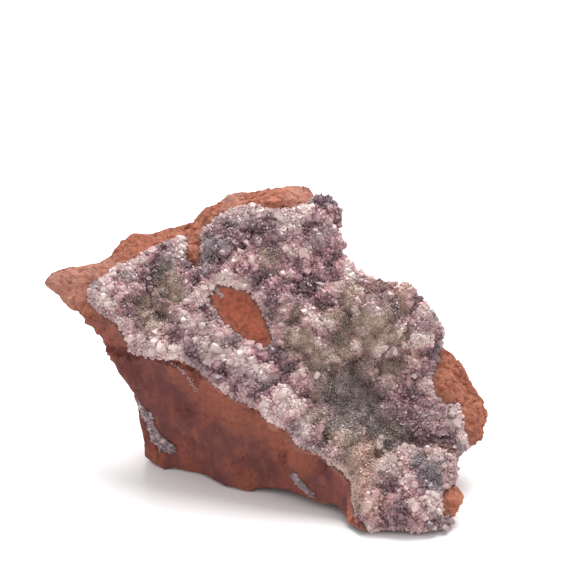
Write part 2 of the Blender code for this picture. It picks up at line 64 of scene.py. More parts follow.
IMAGE = 570
EYE_DISTANCE = 0.42
LOOKS_DOWN = math.radians(20)
FIELD_WIDTH = 0.114
SENSOR_WIDTH = 36.0
NEAREST_SEEN = 0.01
AIM_FROM_MIDDLE = Vector((4.3, 1.8, 12.3)) * MM
specimen_middle = (cad_low + cad_high) / 2
aim = specimen_middle + AIM_FROM_MIDDLE
ahead = Vector((0.0, math.cos(LOOKS_DOWN), -math.sin(LOOKS_DOWN)))
upward = Vector((0.0, math.sin(LOOKS_DOWN), math.cos(LOOKS_DOWN)))
eye = aim - ahead * EYE_DISTANCE


def shows_at(place):
    """Where a place shows in the picture: pixels from its left and from its top."""
    offset = place - eye
    scale = IMAGE / FIELD_WIDTH * EYE_DISTANCE / offset.dot(ahead)
    return Vector((IMAGE / 2 + offset.x * scale, IMAGE / 2 - offset.dot(upward) * scale))


def line_of_sight(across, down):
    """The direction from the eye through a spot of the picture."""
    aside = Vector((across - IMAGE / 2, 0.0, 0.0)) + upward * (IMAGE / 2 - down)
    return (ahead * EYE_DISTANCE + aside * FIELD_WIDTH / IMAGE).normalized()


camera = bpy.data.objects.new("camera", bpy.data.cameras.new("camera"))
bpy.context.scene.collection.objects.link(camera)
camera.location = eye
camera.rotation_euler = (math.radians(90) - LOOKS_DOWN, 0.0, 0.0)
camera.data.sensor_width = SENSOR_WIDTH
camera.data.lens = SENSOR_WIDTH * EYE_DISTANCE / FIELD_WIDTH
camera.data.clip_start = NEAREST_SEEN
bpy.context.scene.camera = camera
bpy.context.scene.view_settings.view_transform = "Standard"

# The table and the studio light
# A white table with a faint gloss, in a white room, under one large soft lamp overhead and a little
# behind: the top of the rock is bright and its broken face lies in shade.

TABLE_WHITE = (0.93, 0.915, 0.92)
TABLE_REACH = 3.0
ROOM_WHITE = (1.0, 1.0, 1.0, 1.0)
ROOM_LIGHT = 0.96
BACKDROP = 1.1
LAMP_PLACE = Vector((0.08, 0.18, 0.54))
LAMP_SIZE = 0.42
LAMP_POWER = 4.0

table = bpy.data.objects.new("table", bpy.data.meshes.new("table"))
bpy.context.scene.collection.objects.link(table)
table_top = bmesh.new()
bmesh.ops.create_grid(table_top, x_segments=1, y_segments=1, size=TABLE_REACH)
table_top.to_mesh(table.data)
table_top.free()
table_finish = bpy.data.materials.new("table_finish")
table_finish.use_nodes = True
table_shader = table_finish.node_tree.nodes["Principled BSDF"]
table_shader.inputs["Base Color"].default_value = (*TABLE_WHITE, 1.0)
table_shader.inputs["Roughness"].default_value = 0.25
table_shader.inputs["Specular IOR Level"].default_value = 0.3
table.data.materials.append(table_finish)

world = bpy.data.worlds.new("white_room")
bpy.context.scene.world = world
world.use_nodes = True
room = world.node_tree
room.nodes.clear()
room_out = room.nodes.new("ShaderNodeOutputWorld")
room_mix = room.nodes.new("ShaderNodeMixShader")
light_path = room.nodes.new("ShaderNodeLightPath")
room.links.new(light_path.outputs["Is Camera Ray"], room_mix.inputs[0])
for socket, strength in ((1, ROOM_LIGHT), (2, BACKDROP)):
    glow = room.nodes.new("ShaderNodeBackground")
    glow.inputs["Color"].default_value = ROOM_WHITE
    glow.inputs["Strength"].default_value = strength
    room.links.new(glow.outputs[0], room_mix.inputs[socket])
room.links.new(room_mix.outputs[0], room_out.inputs["Surface"])

lamp = bpy.data.objects.new("key_lamp", bpy.data.lights.new("key_lamp", "AREA"))
bpy.context.scene.collection.objects.link(lamp)
lamp.data.size = LAMP_SIZE
lamp.data.energy = LAMP_POWER
lamp.location = LAMP_PLACE
lamp.rotation_euler = (specimen_middle - LAMP_PLACE).to_track_quat("-Z", "Y").to_euler()

# The limonite
# Massive iron oxide that grew as one lump and broke: a dull earthy rock, orange and grainy where it is
# old, purple-brown and smoother on the big broken face. One piece, in place of the CAD solid.

# How near vertices are joined to one, and how many times over long edges are halved
JOIN_REACH = MM / 1000
MOST_HALVINGS = 4

# How finely the rock is cut up, and where it counts as turned away from the eye
ROCK_EDGE = 0.44 * MM
ROCK_STEPS = (2.2 * MM, 1.0 * MM, ROCK_EDGE)
BACK_COARSENESS = 1.8
EDGE_TURNED_AWAY = 0.15
TURNED_AWAY = 0.25
BURIED_EDGE = 2.2 * MM
CRUST_NEARNESS = 0.55 * MM
COVER_REACH = 1.4 * MM
ROCK_SOFTENING = 0.15

# The rock's relief: sizes and heights, and how much of it the broken face and the bare patch lose
SWELL = 0.15 * MM
LUMP = (5.5 * MM, 0.40 * MM)
CHIPS = (2.4 * MM, 0.34 * MM)
FLAKES = (6.5 * MM, 0.50 * MM)
KNOB = (1.2 * MM, 0.20 * MM)
KNOB_MIDDLE = 0.55
GRAIN = (0.75 * MM, 0.15 * MM)
FACE_EVENNESS = 0.75
BARE_EVENNESS = 0.95
FLAKE_EVENNESS = 0.8
GRAIN_EVENNESS = 0.6
LEDGE_STEP = 0.4 * MM
GROOVE_DEPTH = 1.0 * MM
ARC_DEPTH = 0.35 * MM
FULLER_RISE = 0.6 * MM
BACK_FLAKES = (9.0 * MM, 1.1 * MM)
FOOT_HEIGHT = 0.4 * MM

# What the material gets: how fresh the ledge and the back look, and what counts as relief, which is
# darkened with painted shade where it is low
LEDGE_FRESHNESS = 0.75
BACK_AREAS = (18 * MM, 1.0)
BACK_SPOTS = (4 * MM, 0.30)
BACK_CONTRAST = 5.0
KNOB_SHADE_SHARE = 0.7
GRAIN_SHADE_SHARE = 0.9
GROOVE_SHADOW_SHARE = 0.35

# How far the borders of the tints wander: the size of the bends and their reach in pixels, and what sets
# the wandering across and the wandering down apart
WANDER = (3.0 * MM, 7.0)
APART = Vector((7.0, 3.0, 5.0))

# How the plates of the broken rock tilt, each its own way
TILT_CHANGE = 4.3
TILT_APART = Vector((7.1, 3.7, 9.3))
TILT_STRENGTH = 2.0

# The broken brown face, the ledge above it and the bare patch in the crust, as outlines in the picture
BROWN_FACE = [
    (60, 350), (97, 350), (118, 344), (140, 354), (178, 360), (206, 376), (240, 402), (275, 428),
    (312, 452), (344, 470), (352, 490), (345, 520), (60, 520),
]
LEDGE = [(88, 318), (120, 330), (145, 356), (96, 356), (80, 330)]
BARE_PATCH = [(200, 276), (246, 278), (272, 316), (282, 350), (250, 352), (210, 320), (196, 296)]

# The groove under the ledge and the crust's lower edge, its dark line partly painted shadow, as round
# patches of the picture: across, down and reach in pixels
GROOVE = [
    (102, 339, 7), (110, 345, 7), (119, 350, 7), (129, 352, 7), (139, 353, 7), (149, 354, 7),
    (159, 356, 7), (169, 359, 7), (179, 363, 7), (188, 369, 6), (197, 377, 6),
]

# A shallow curved break in the brown face
ARC = [(264, 444, 4), (270, 446, 4), (276, 449, 4), (281, 454, 4), (285, 460, 4), (287, 467, 4)]

# Where the rock swells a little at its left side, as round patches
FULLER = [(122, 386, 26), (68, 307, 16), (84, 318, 12), (100, 341, 14)]

# Tints of the brown face, as round patches: across, down and reach in pixels
PURPLE_TINT = [(140, 375, 48), (175, 400, 40), (120, 365, 30), (215, 440, 26), (262, 465, 26)]
ORANGE_BAND = [
    (178, 368, 18), (200, 386, 20), (220, 400, 22), (240, 412, 24), (258, 424, 22), (280, 442, 20),
    (152, 462, 18), (245, 486, 18), (300, 462, 22),
]

# Where a pale highlight is painted on the old skin, as round patches
PAINTED_HIGHLIGHTS = [(66, 282, 30), (100, 270, 20), (230, 192, 24), (300, 190, 20)]


def merged_copy(node):
    """A CAD node's solid with its loose triangles joined."""
    solid = bmesh.new()
    solid.from_mesh(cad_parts[node].data)
    bmesh.ops.remove_doubles(solid, verts=solid.verts, dist=JOIN_REACH)
    return solid


def halve_long_edges(solid, longest_for):
    """Halves the edges that are longer than a rule allows, a few times over."""
    for _ in range(MOST_HALVINGS):
        too_long = [edge for edge in solid.edges if edge.calc_length() > longest_for(edge)]
        if not too_long:
            return
        bmesh.ops.subdivide_edges(solid, edges=too_long, cuts=1)
        wide = [face for face in solid.faces if len(face.verts) > 3]
        bmesh.ops.triangulate(solid, faces=wide, quad_method="SHORT_EDGE", ngon_method="BEAUTY")
    solid.normal_update()


def soften(solid, verts, factor):
    """Moves vertices towards the middle of their neighbours."""
    bmesh.ops.smooth_vert(
        solid, verts=verts, factor=factor, use_axis_x=True, use_axis_y=True, use_axis_z=True,
    )


def limited(value):
    """A number, cut off below 0 and above 1."""
    return min(1.0, max(0.0, value))


def waves(place, size, strength):
    """A soft random height at a place, about 0, in waves of a size."""
    return strength * noise.noise(place / size)


def wandering(place, size, reach):
    """Where a place shows in the picture, moved a little so that borders drawn there wind as real ones do."""
    aside = Vector((noise.noise(place / size), noise.noise(place / size + APART)))
    return shows_at(place) + aside * reach


def is_within(outline, spot):
    """Whether a spot lies within an outline of the picture."""
    within = False
    for (x0, y0), (x1, y1) in zip(outline, outline[1:] + outline[:1]):
        if (y0 > spot.y) != (y1 > spot.y) and spot.x < x0 + (x1 - x0) * (spot.y - y0) / (y1 - y0):
            within = not within
    return within


def share_of(spot, patches):
    """How far a spot lies inside the nearest of some round patches: 0 outside, 1 in the inner half."""
    nearest = max(1.0 - (spot - Vector(patch[:2])).length / patch[2] for patch in patches)
    return limited(2.0 * nearest)


def store(mesh, name, values):
    """Keeps one number for each vertex, for a material to read."""
    mesh.attributes.new(name, "FLOAT", "POINT").data.foreach_set("value", values)


def mesh_of(name, solid):
    """Turns a bmesh into a mesh and frees it."""
    mesh = bpy.data.meshes.new(name)
    solid.to_mesh(mesh)
    solid.free()
    return mesh


def finished_piece(name, mesh, material, slot, *nodes):
    """Makes a piece of the specimen from a mesh, in place of one or more CAD nodes."""
    mesh.materials.append(material)
    piece = bpy.data.objects.new(name, mesh)
    bpy.context.scene.collection.objects.link(piece)
    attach(piece, "root")
    if nodes:
        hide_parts(*nodes)


def tilted_plates(place, size):
    """A field of flat plates, each tilted its own way, as a brittle rock breaks: a height about 0."""
    nearest = noise.voronoi(place / size)[1][0]
    tilt = Vector([noise.noise(nearest * TILT_CHANGE + TILT_APART * axis) for axis in range(3)])
    return (place / size - nearest).dot(tilt) * TILT_STRENGTH


crust_cover = BVHTree.FromBMesh(merged_copy("adamite_crust"))
rock = merged_copy("limonite_matrix")


def is_buried(place):
    """Whether a place of the rock lies under the crust."""
    return crust_cover.find_nearest(place, CRUST_NEARNESS)[0] is not None


def edge_rule(front):
    """The longest edge that the rock may have, by where an edge lies."""
    def longest(edge):
        first, second = edge.verts
        if is_buried((first.co + second.co) / 2):
            return max(front, BURIED_EDGE)
        return front if first.normal.dot(ahead) < EDGE_TURNED_AWAY else front * BACK_COARSENESS
    return longest


for finest in ROCK_STEPS:
    rock.normal_update()
    halve_long_edges(rock, edge_rule(finest))
    if finest > ROCK_EDGE:
        soften(rock, [vert for vert in rock.verts if vert.co.z > FOOT_HEIGHT / 4], ROCK_SOFTENING)
rock.normal_update()

moves = []
rock_values = {name: [] for name in ("fresh", "purple", "band", "bare", "relief", "rim", "painted_highlight")}
for vert in rock.verts:
    behind = vert.normal.dot(ahead) >= TURNED_AWAY
    if behind:
        old = waves(vert.co, *BACK_AREAS) + waves(vert.co, *BACK_SPOTS)
        fresh = limited(0.5 + BACK_CONTRAST * old)
        purple = 0.5 * fresh
        band = bare = painted_highlight = 0.0
        on_face = on_ledge = False
    else:
        spot = wandering(vert.co, *WANDER)
        on_face = is_within(BROWN_FACE, spot)
        on_ledge = is_within(LEDGE, spot)
        fresh = 1.0 if on_face else LEDGE_FRESHNESS * on_ledge
        painted_highlight = share_of(spot, PAINTED_HIGHLIGHTS)
        purple = share_of(spot, PURPLE_TINT) if on_face else 0.0
        band = share_of(spot, ORANGE_BAND) if on_face else 0.0
        bare = 1.0 * is_within(BARE_PATCH, spot)
    knob = KNOB_MIDDLE - noise.voronoi(vert.co / KNOB[0])[0][0]
    grain = noise.noise(vert.co / GRAIN[0])
    even = max(FACE_EVENNESS * fresh, BARE_EVENNESS * bare)
    grainy = 1.0 - GRAIN_EVENNESS * fresh
    rise = SWELL + waves(vert.co, *LUMP) + knob * KNOB[1] * (1.0 - even) + grain * GRAIN[1] * grainy
    rise += tilted_plates(vert.co, CHIPS[0]) * CHIPS[1] * (1.0 - even)
    flakes = tilted_plates(vert.co, FLAKES[0]) * FLAKES[1]
    rise += flakes * (1.0 - FLAKE_EVENNESS * even) + LEDGE_STEP * on_ledge
    groove = share_of(spot, GROOVE) if on_face or on_ledge else 0.0
    rise -= GROOVE_DEPTH * groove
    if on_face:
        rise -= ARC_DEPTH * share_of(spot, ARC)
    rise += FULLER_RISE * share_of(shows_at(vert.co), FULLER)
    if behind:
        rise += tilted_plates(vert.co, BACK_FLAKES[0]) * BACK_FLAKES[1]
    cover = crust_cover.find_nearest(vert.co, COVER_REACH)[3]
    if cover is not None and cover < CRUST_NEARNESS:
        rise = 0.0
    if vert.co.z < FOOT_HEIGHT:
        rise *= max(0.0, vert.co.z / FOOT_HEIGHT)
    # The relief is low in the crevices between the knobs, in the grain and in the groove, where the material
    # paints shade
    relief = 0.5 + (knob * KNOB_SHADE_SHARE + grain * GRAIN_SHADE_SHARE) * grainy - GROOVE_SHADOW_SHARE * groove
    rim = 0.0 if cover is None else 1.0 - cover / COVER_REACH
    for kept, value in zip(rock_values.values(), (fresh, purple, band, bare, relief, rim, painted_highlight)):
        kept.append(value)
    moves.append((vert, vert.normal * rise))
for vert, move in moves:
    vert.co += move
    vert.co.z = max(vert.co.z, 0.0)
rock_skin = BVHTree.FromBMesh(rock)

# A shared effect: a patchy mask from a noise of a given size, spread so that it runs from 0 to 1
patchy = bpy.data.node_groups.new("patchy", "ShaderNodeTree")
patchy.interface.new_socket("Vector", in_out="INPUT", socket_type="NodeSocketVector")
for name, value in (("Size", 1.0), ("Detail", 3.0), ("Low", 0.4), ("High", 0.6)):
    patchy.interface.new_socket(name, in_out="INPUT", socket_type="NodeSocketFloat").default_value = value
patchy.interface.new_socket("Mask", in_out="OUTPUT", socket_type="NodeSocketFloat")
group_in = patchy.nodes.new("NodeGroupInput")
group_out = patchy.nodes.new("NodeGroupOutput")
texture = patchy.nodes.new("ShaderNodeTexNoise")
fineness = patchy.nodes.new("ShaderNodeMath")
fineness.operation = "DIVIDE"
fineness.inputs[0].default_value = 1.0
spread = patchy.nodes.new("ShaderNodeMapRange")
patchy.links.new(group_in.outputs["Size"], fineness.inputs[1])
patchy.links.new(fineness.outputs[0], texture.inputs["Scale"])
patchy.links.new(group_in.outputs["Vector"], texture.inputs["Vector"])
patchy.links.new(group_in.outputs["Detail"], texture.inputs["Detail"])
patchy.links.new(group_in.outputs["Low"], spread.inputs["From Min"])
patchy.links.new(group_in.outputs["High"], spread.inputs["From Max"])
patchy.links.new(texture.outputs["Fac"], spread.inputs["Value"])
patchy.links.new(spread.outputs["Result"], group_out.inputs["Mask"])


def patches(tree, coordinates, size, low, high, detail=3.0, stretch=None):
    """Places the patchy mask in a material, if need be on stretched coordinates."""
    if stretch:
        mapping = tree.nodes.new("ShaderNodeMapping")
        mapping.inputs["Scale"].default_value = stretch
        tree.links.new(coordinates, mapping.inputs["Vector"])
        coordinates = mapping.outputs[0]
    group = tree.nodes.new("ShaderNodeGroup")
    group.node_tree = patchy
    tree.links.new(coordinates, group.inputs["Vector"])
    for name, value in (("Size", size), ("Low", low), ("High", high), ("Detail", detail)):
        group.inputs[name].default_value = value
    return group.outputs["Mask"]


def blend_colours(tree, factor, first, second):
    """A mix of two colours; each of the three is a value or another node's output."""
    mix = tree.nodes.new("ShaderNodeMix")
    mix.data_type = "RGBA"
    for socket, value in ((mix.inputs[0], factor), (mix.inputs[6], first), (mix.inputs[7], second)):
        if isinstance(value, bpy.types.NodeSocket):
            tree.links.new(value, socket)
        else:
            socket.default_value = value if isinstance(value, float) else (*value, 1.0)
    return mix.outputs[2]


def part_of(tree, value, share):
    """A share of another node's output."""
    part = tree.nodes.new("ShaderNodeMath")
    part.operation = "MULTIPLY"
    part.inputs[1].default_value = share
    tree.links.new(value, part.inputs[0])
    return part.outputs[0]


def stored(tree, name, share=1.0):
    """A share of the number that the mesh keeps under a name."""
    attribute = tree.nodes.new("ShaderNodeAttribute")
    attribute.attribute_name = name
    return part_of(tree, attribute.outputs["Fac"], share)


def new_material(name):
    """A material with its tree, its shader and the piece's own coordinates."""
    material = bpy.data.materials.new(name)
    material.use_nodes = True
    tree = material.node_tree
    coordinates = tree.nodes.new("ShaderNodeTexCoord").outputs["Object"]
    return material, tree, tree.nodes["Principled BSDF"], coordinates


ORANGE = (0.375, 0.126, 0.073)
RUST = (0.27, 0.082, 0.048)
DEEP_RUST_AND_SHADE = (0.16, 0.048, 0.030)
PALE_OCHRE = (0.47, 0.205, 0.135)
BARE_RED = (0.365, 0.094, 0.052)
PURPLE_BROWN = (0.130, 0.045, 0.045)
RED_BROWN = (0.250, 0.071, 0.056)
BAND_ORANGE = (0.33, 0.100, 0.054)
RIM_PINK_AND_HIGHLIGHT = (0.52, 0.33, 0.29)

# The grit that is too fine for the mesh: sizes and depths
GRIT = ((1.1 * MM, 0.16 * MM), (0.45 * MM, 0.15 * MM))
GRIT_STRENGTH = 0.8

limonite, tree, shader, where = new_material("limonite")
blotches = patches(tree, where, size=3.0 * MM, low=0.36, high=0.62)
fibres = patches(tree, where, size=1.3 * MM, low=0.40, high=0.66, detail=5.0, stretch=(0.35, 1.0, 1.0))
grain_spots = patches(tree, where, size=0.8 * MM, low=0.46, high=0.70, detail=5.0)
old_skin = blend_colours(tree, blotches, RUST, ORANGE)
old_skin = blend_colours(tree, part_of(tree, fibres, share=0.45), old_skin, PALE_OCHRE)
old_skin = blend_colours(tree, part_of(tree, grain_spots, share=0.3), old_skin, DEEP_RUST_AND_SHADE)
red_skin = blend_colours(tree, part_of(tree, fibres, share=0.35), BARE_RED, RUST)
red_skin = blend_colours(tree, part_of(tree, grain_spots, share=0.35), red_skin, DEEP_RUST_AND_SHADE)
old_skin = blend_colours(tree, stored(tree, "bare"), old_skin, red_skin)

clouds = patches(tree, where, size=6.0 * MM, low=0.40, high=0.60)
streaks = patches(tree, where, size=1.5 * MM, low=0.46, high=0.74, detail=6.0, stretch=(1.0, 1.0, 0.4))
broken = blend_colours(tree, clouds, PURPLE_BROWN, RED_BROWN)
broken = blend_colours(tree, stored(tree, "purple", share=0.75), broken, PURPLE_BROWN)
broken = blend_colours(tree, stored(tree, "band", share=0.6), broken, BAND_ORANGE)
broken = blend_colours(tree, part_of(tree, streaks, share=0.6), broken, BAND_ORANGE)
broken = blend_colours(tree, part_of(tree, grain_spots, share=0.5), broken, PURPLE_BROWN)

colour = blend_colours(tree, stored(tree, "fresh"), old_skin, broken)
# Painted shade: the rock goes towards deep rust where its relief is low, in the crevices and in the groove
# under the crust's edge
painted_hollow_shade = tree.nodes.new("ShaderNodeMapRange")
for socket, value in (("From Min", 0.15), ("From Max", 0.55), ("To Min", 0.6), ("To Max", 0.0)):
    painted_hollow_shade.inputs[socket].default_value = value
tree.links.new(stored(tree, "relief"), painted_hollow_shade.inputs["Value"])
colour = blend_colours(tree, painted_hollow_shade.outputs["Result"], colour, DEEP_RUST_AND_SHADE)
colour = blend_colours(tree, stored(tree, "rim", share=0.30), colour, RIM_PINK_AND_HIGHLIGHT)
# Painted highlight: the left tip and the top of the rock are made paler pink
colour = blend_colours(tree, stored(tree, "painted_highlight", share=0.22), colour, RIM_PINK_AND_HIGHLIGHT)
tree.links.new(colour, shader.inputs["Base Color"])
shader.inputs["Roughness"].default_value = 0.85
shader.inputs["Specular IOR Level"].default_value = 0.3
previous = None
for size, depth in GRIT:
    grit = tree.nodes.new("ShaderNodeBump")
    grit.inputs["Strength"].default_value = GRIT_STRENGTH
    grit.inputs["Distance"].default_value = depth
    tree.links.new(patches(tree, where, size, low=0.3, high=0.7, detail=5.0), grit.inputs["Height"])
    if previous:
        tree.links.new(previous.outputs["Normal"], grit.inputs["Normal"])
    previous = grit
tree.links.new(previous.outputs["Normal"], shader.inputs["Normal"])

rock_mesh = mesh_of("limonite_rock", rock)
for name, values in rock_values.items():
    store(rock_mesh, name, values)
finished_piece("limonite_rock", rock_mesh, limonite, "limonite", "limonite_matrix")

# The druse ground
# The layer of intergrown adamite that holds the crystals: a lumpy sheet of small balls on the rock,
# broken off where the lump broke, so that its edge shows as a thin pale line.

GROUND_EDGE = 0.6 * MM
GROUND_STEPS = (2.4 * MM, 1.2 * MM, GROUND_EDGE)
GROUND_SOFTENING = 0.4
GROUND_THICKNESS = 0.8 * MM
GROUND_SINK = 0.5 * MM
UNDERSIDE_GAP = 0.36 * MM
THINNEST = 0.25 * MM
LOWEST = 0.1 * MM

# The ground's relief: sizes and heights, and how it flattens towards the rim and away from the eye
DRUSE_BALLS = (3.6 * MM, 0.8 * MM)
CLUSTERS = (3.3 * MM, 1.5 * MM)
BUDS = (1.2 * MM, 0.35 * MM)
ROUND_RISE = 0.10 * MM
LOBE_SWELL = 1.8 * MM
RECESS_DEPTH = 1.5 * MM
DOME_RADIUS = 0.72
TAPER = 2.2 * MM
RIM_THICKNESS = 0.4
RIM_LIFT = 0.1
SIDE_LIFT = 0.4
FACING_LIFT = 1.5

# The tints: how their borders wander, how much olive there is, and how light the crust is from place
# to place, with painted light on the tops of the balls, painted shade in their creases, and painted light and
# shade at the lobe
ZONE_WANDER = (3.5 * MM, 9.0)
OLIVE_MIDDLE = 0.90
OLIVE_SPOTS = (2.6 * MM, 1.3)
BLUE_OVER_PALE = 0.6
TONE_MIDDLE = 0.30
TONE_SPOTS = (3.2 * MM, 0.85)
TONE_AREAS = (7.0 * MM, 0.45)
GROUND_DARKER = 0.20
CREASE_SHADE_AND_TOP_LIGHT = 0.34
HEIGHT_MIDDLE = 0.6
BALL_PAINTED_LIGHT = 0.006
GROUND_PAINTED_HIGHLIGHT = 0.5
RIM_PALENESS = 0.6
RIM_TINTS_AND_LIGHT = {"pale": 0.35, "peach": 0.5}
RECESS_PAINTED_SHADE = 0.6

# Where the crust is olive, dark, blue-grey, pale, peach or purple, as round patches of the picture
OLIVE = [
    (160, 307, 34), (172, 290, 22), (148, 326, 20), (300, 345, 26), (335, 328, 30), (352, 302, 24),
    (318, 390, 24), (312, 368, 22), (350, 350, 40), (385, 335, 20), (370, 462, 30), (350, 478, 26),
    (380, 440, 20), (270, 262, 20), (400, 310, 16), (360, 500, 18), (162, 285, 16), (376, 322, 26),
    (392, 372, 20), (310, 424, 18), (328, 440, 20), (346, 452, 20), (286, 320, 18), (404, 338, 14),
    (148, 312, 26), (174, 304, 24),
]
# The dark patches are partly the crust's own dark grey druse and partly painted shade: the big hollow in the
# middle, the recess above the lobe and the lobe's pits
DARK_AND_SHADE = [
    (352, 402, 42), (335, 392, 30), (372, 424, 28), (396, 434, 14), (168, 274, 16), (345, 428, 22),
    (390, 446, 11), (408, 442, 9), (164, 299, 10), (428, 478, 9), (438, 488, 7), (418, 470, 6),
    (405, 505, 6), (422, 512, 6),
]
BLUE = [
    (216, 252, 20), (204, 262, 14), (333, 203, 9), (424, 476, 18), (432, 488, 12), (452, 443, 10),
    (98, 286, 12),
]
PALE = [
    (128, 262, 20), (108, 275, 16), (94, 292, 12), (286, 225, 18), (245, 213, 20), (218, 350, 22),
    (205, 330, 16), (456, 426, 14), (196, 300, 12), (243, 285, 9), (262, 205, 16), (434, 508, 16),
    (384, 474, 16), (300, 215, 14), (240, 362, 16), (262, 378, 16), (284, 402, 14), (140, 345, 12),
    (300, 430, 14), (104, 300, 12), (412, 465, 12),
]
PEACH = [
    (436, 464, 20), (386, 462, 18), (400, 292, 20), (412, 357, 14), (343, 243, 14), (372, 285, 14),
    (365, 484, 24), (358, 462, 18), (376, 508, 16),
]
PURPLE = [
    (425, 432, 28), (405, 446, 20), (440, 405, 20), (245, 380, 18), (206, 365, 14), (168, 256, 18),
    (228, 226, 24), (270, 240, 22), (312, 236, 18), (382, 300, 18), (298, 300, 16), (190, 350, 12),
    (425, 330, 14), (412, 395, 16), (400, 412, 16), (425, 412, 14), (130, 284, 12), (148, 266, 10),
    (178, 334, 12), (200, 360, 12), (230, 378, 12), (256, 394, 12), (214, 238, 12), (256, 222, 12),
]

# The swollen upper rim of the lobe at the lower right, paler partly with painted light, and the recess above
# it, darkened with painted shade
LOBE_RIM = [(384, 480, 13), (393, 473, 13), (406, 469, 12), (419, 469, 12), (432, 472, 13), (446, 480, 12)]
RECESS = [(380, 460, 10), (390, 455, 12), (402, 451, 12), (414, 449, 12), (427, 450, 12), (440, 455, 11)]

# The large round balls of fine druse: across, down and radius in pixels
BALLS = [
    (305, 337, 17), (314, 388, 16), (352, 302, 15), (330, 320, 12), (377, 343, 13), (347, 350, 14),
    (387, 387, 13), (366, 370, 13), (167, 303, 17), (178, 285, 10), (149, 325, 13), (340, 437, 16),
    (395, 345, 14), (376, 320, 14), (330, 365, 12), (288, 310, 12), (356, 462, 14), (364, 484, 15),
    (404, 300, 13), (384, 415, 12), (352, 415, 13), (272, 262, 13),
]

rock_surface = BVHTree.FromBMesh(merged_copy("limonite_matrix"))


def crust_bed(node_name):
    """The underside of a CAD crust, turned to look outwards: the surface that the crystals grow from."""
    bed = merged_copy(node_name)
    touching = {
        vert for vert in bed.verts if rock_surface.find_nearest(vert.co, UNDERSIDE_GAP)[0] is not None
    }
    upper = [face for face in bed.faces if not all(vert in touching for vert in face.verts)]
    bmesh.ops.delete(bed, geom=upper, context="FACES")
    bmesh.ops.reverse_faces(bed, faces=bed.faces)
    return bed


def zones_at(place):
    """The tints of the crust at a place, each from 0 to 1."""
    spot = wandering(place, *ZONE_WANDER)
    mixing = limited(OLIVE_MIDDLE + waves(place, *OLIVE_SPOTS))
    dark, blue = share_of(spot, DARK_AND_SHADE), share_of(spot, BLUE)
    light = (1.0 - dark) * (1.0 - BLUE_OVER_PALE * blue)
    return {
        "olive": share_of(spot, OLIVE) * mixing, "dark": dark, "blue": blue,
        "pale": share_of(spot, PALE) * light, "peach": share_of(spot, PEACH) * light,
        "purple": share_of(spot, PURPLE),
    }


def tone_at(place):
    """How light the crust is at a place, from patch to patch."""
    return TONE_MIDDLE + waves(place, *TONE_SPOTS) + waves(place, *TONE_AREAS)


def roundness(spot):
    """How high a spot of the picture lies on the nearest large ball, in pixels."""
    rises = [radius ** 2 - (spot - Vector((x, y))).length_squared for x, y, radius in BALLS]
    return math.sqrt(max(0.0, *rises))


def dome(place, size):
    """A field of rounded balls that touch: 0 in the creases, 1 on the tops."""
    distance = noise.voronoi(place / size)[0][0]
    return math.sqrt(max(0.0, 1.0 - (distance / DOME_RADIUS) ** 2))


def normal_of(faces):
    """The mean direction of some faces."""
    return sum((face.normal for face in faces), Vector()).normalized()


ground = crust_bed("adamite_crust")
for finest in GROUND_STEPS:
    halve_long_edges(ground, lambda edge: finest)
    soften(ground, [vert for vert in ground.verts if not vert.is_boundary], GROUND_SOFTENING)
ground.normal_update()
rim_places = [vert.co.copy() for vert in ground.verts if vert.is_boundary]
rim_finder = KDTree(len(rim_places))
for index, place in enumerate(rim_places):
    rim_finder.insert(place, index)
rim_finder.balance()
bed_faces = set(ground.faces)
bed_parts = ground.verts[:] + ground.edges[:] + ground.faces[:]
raised = bmesh.ops.extrude_face_region(ground, geom=bed_parts, use_keep_orig=True)
top_verts = {item for item in raised["geom"] if isinstance(item, bmesh.types.BMVert)}
top_faces = {item for item in raised["geom"] if isinstance(item, bmesh.types.BMFace)}
bmesh.ops.recalc_face_normals(ground, faces=ground.faces[:])
ground.normal_update()
ground_values = {name: [] for name in ("olive", "dark", "blue", "pale", "peach", "purple", "tone", "tip")}
moves = []
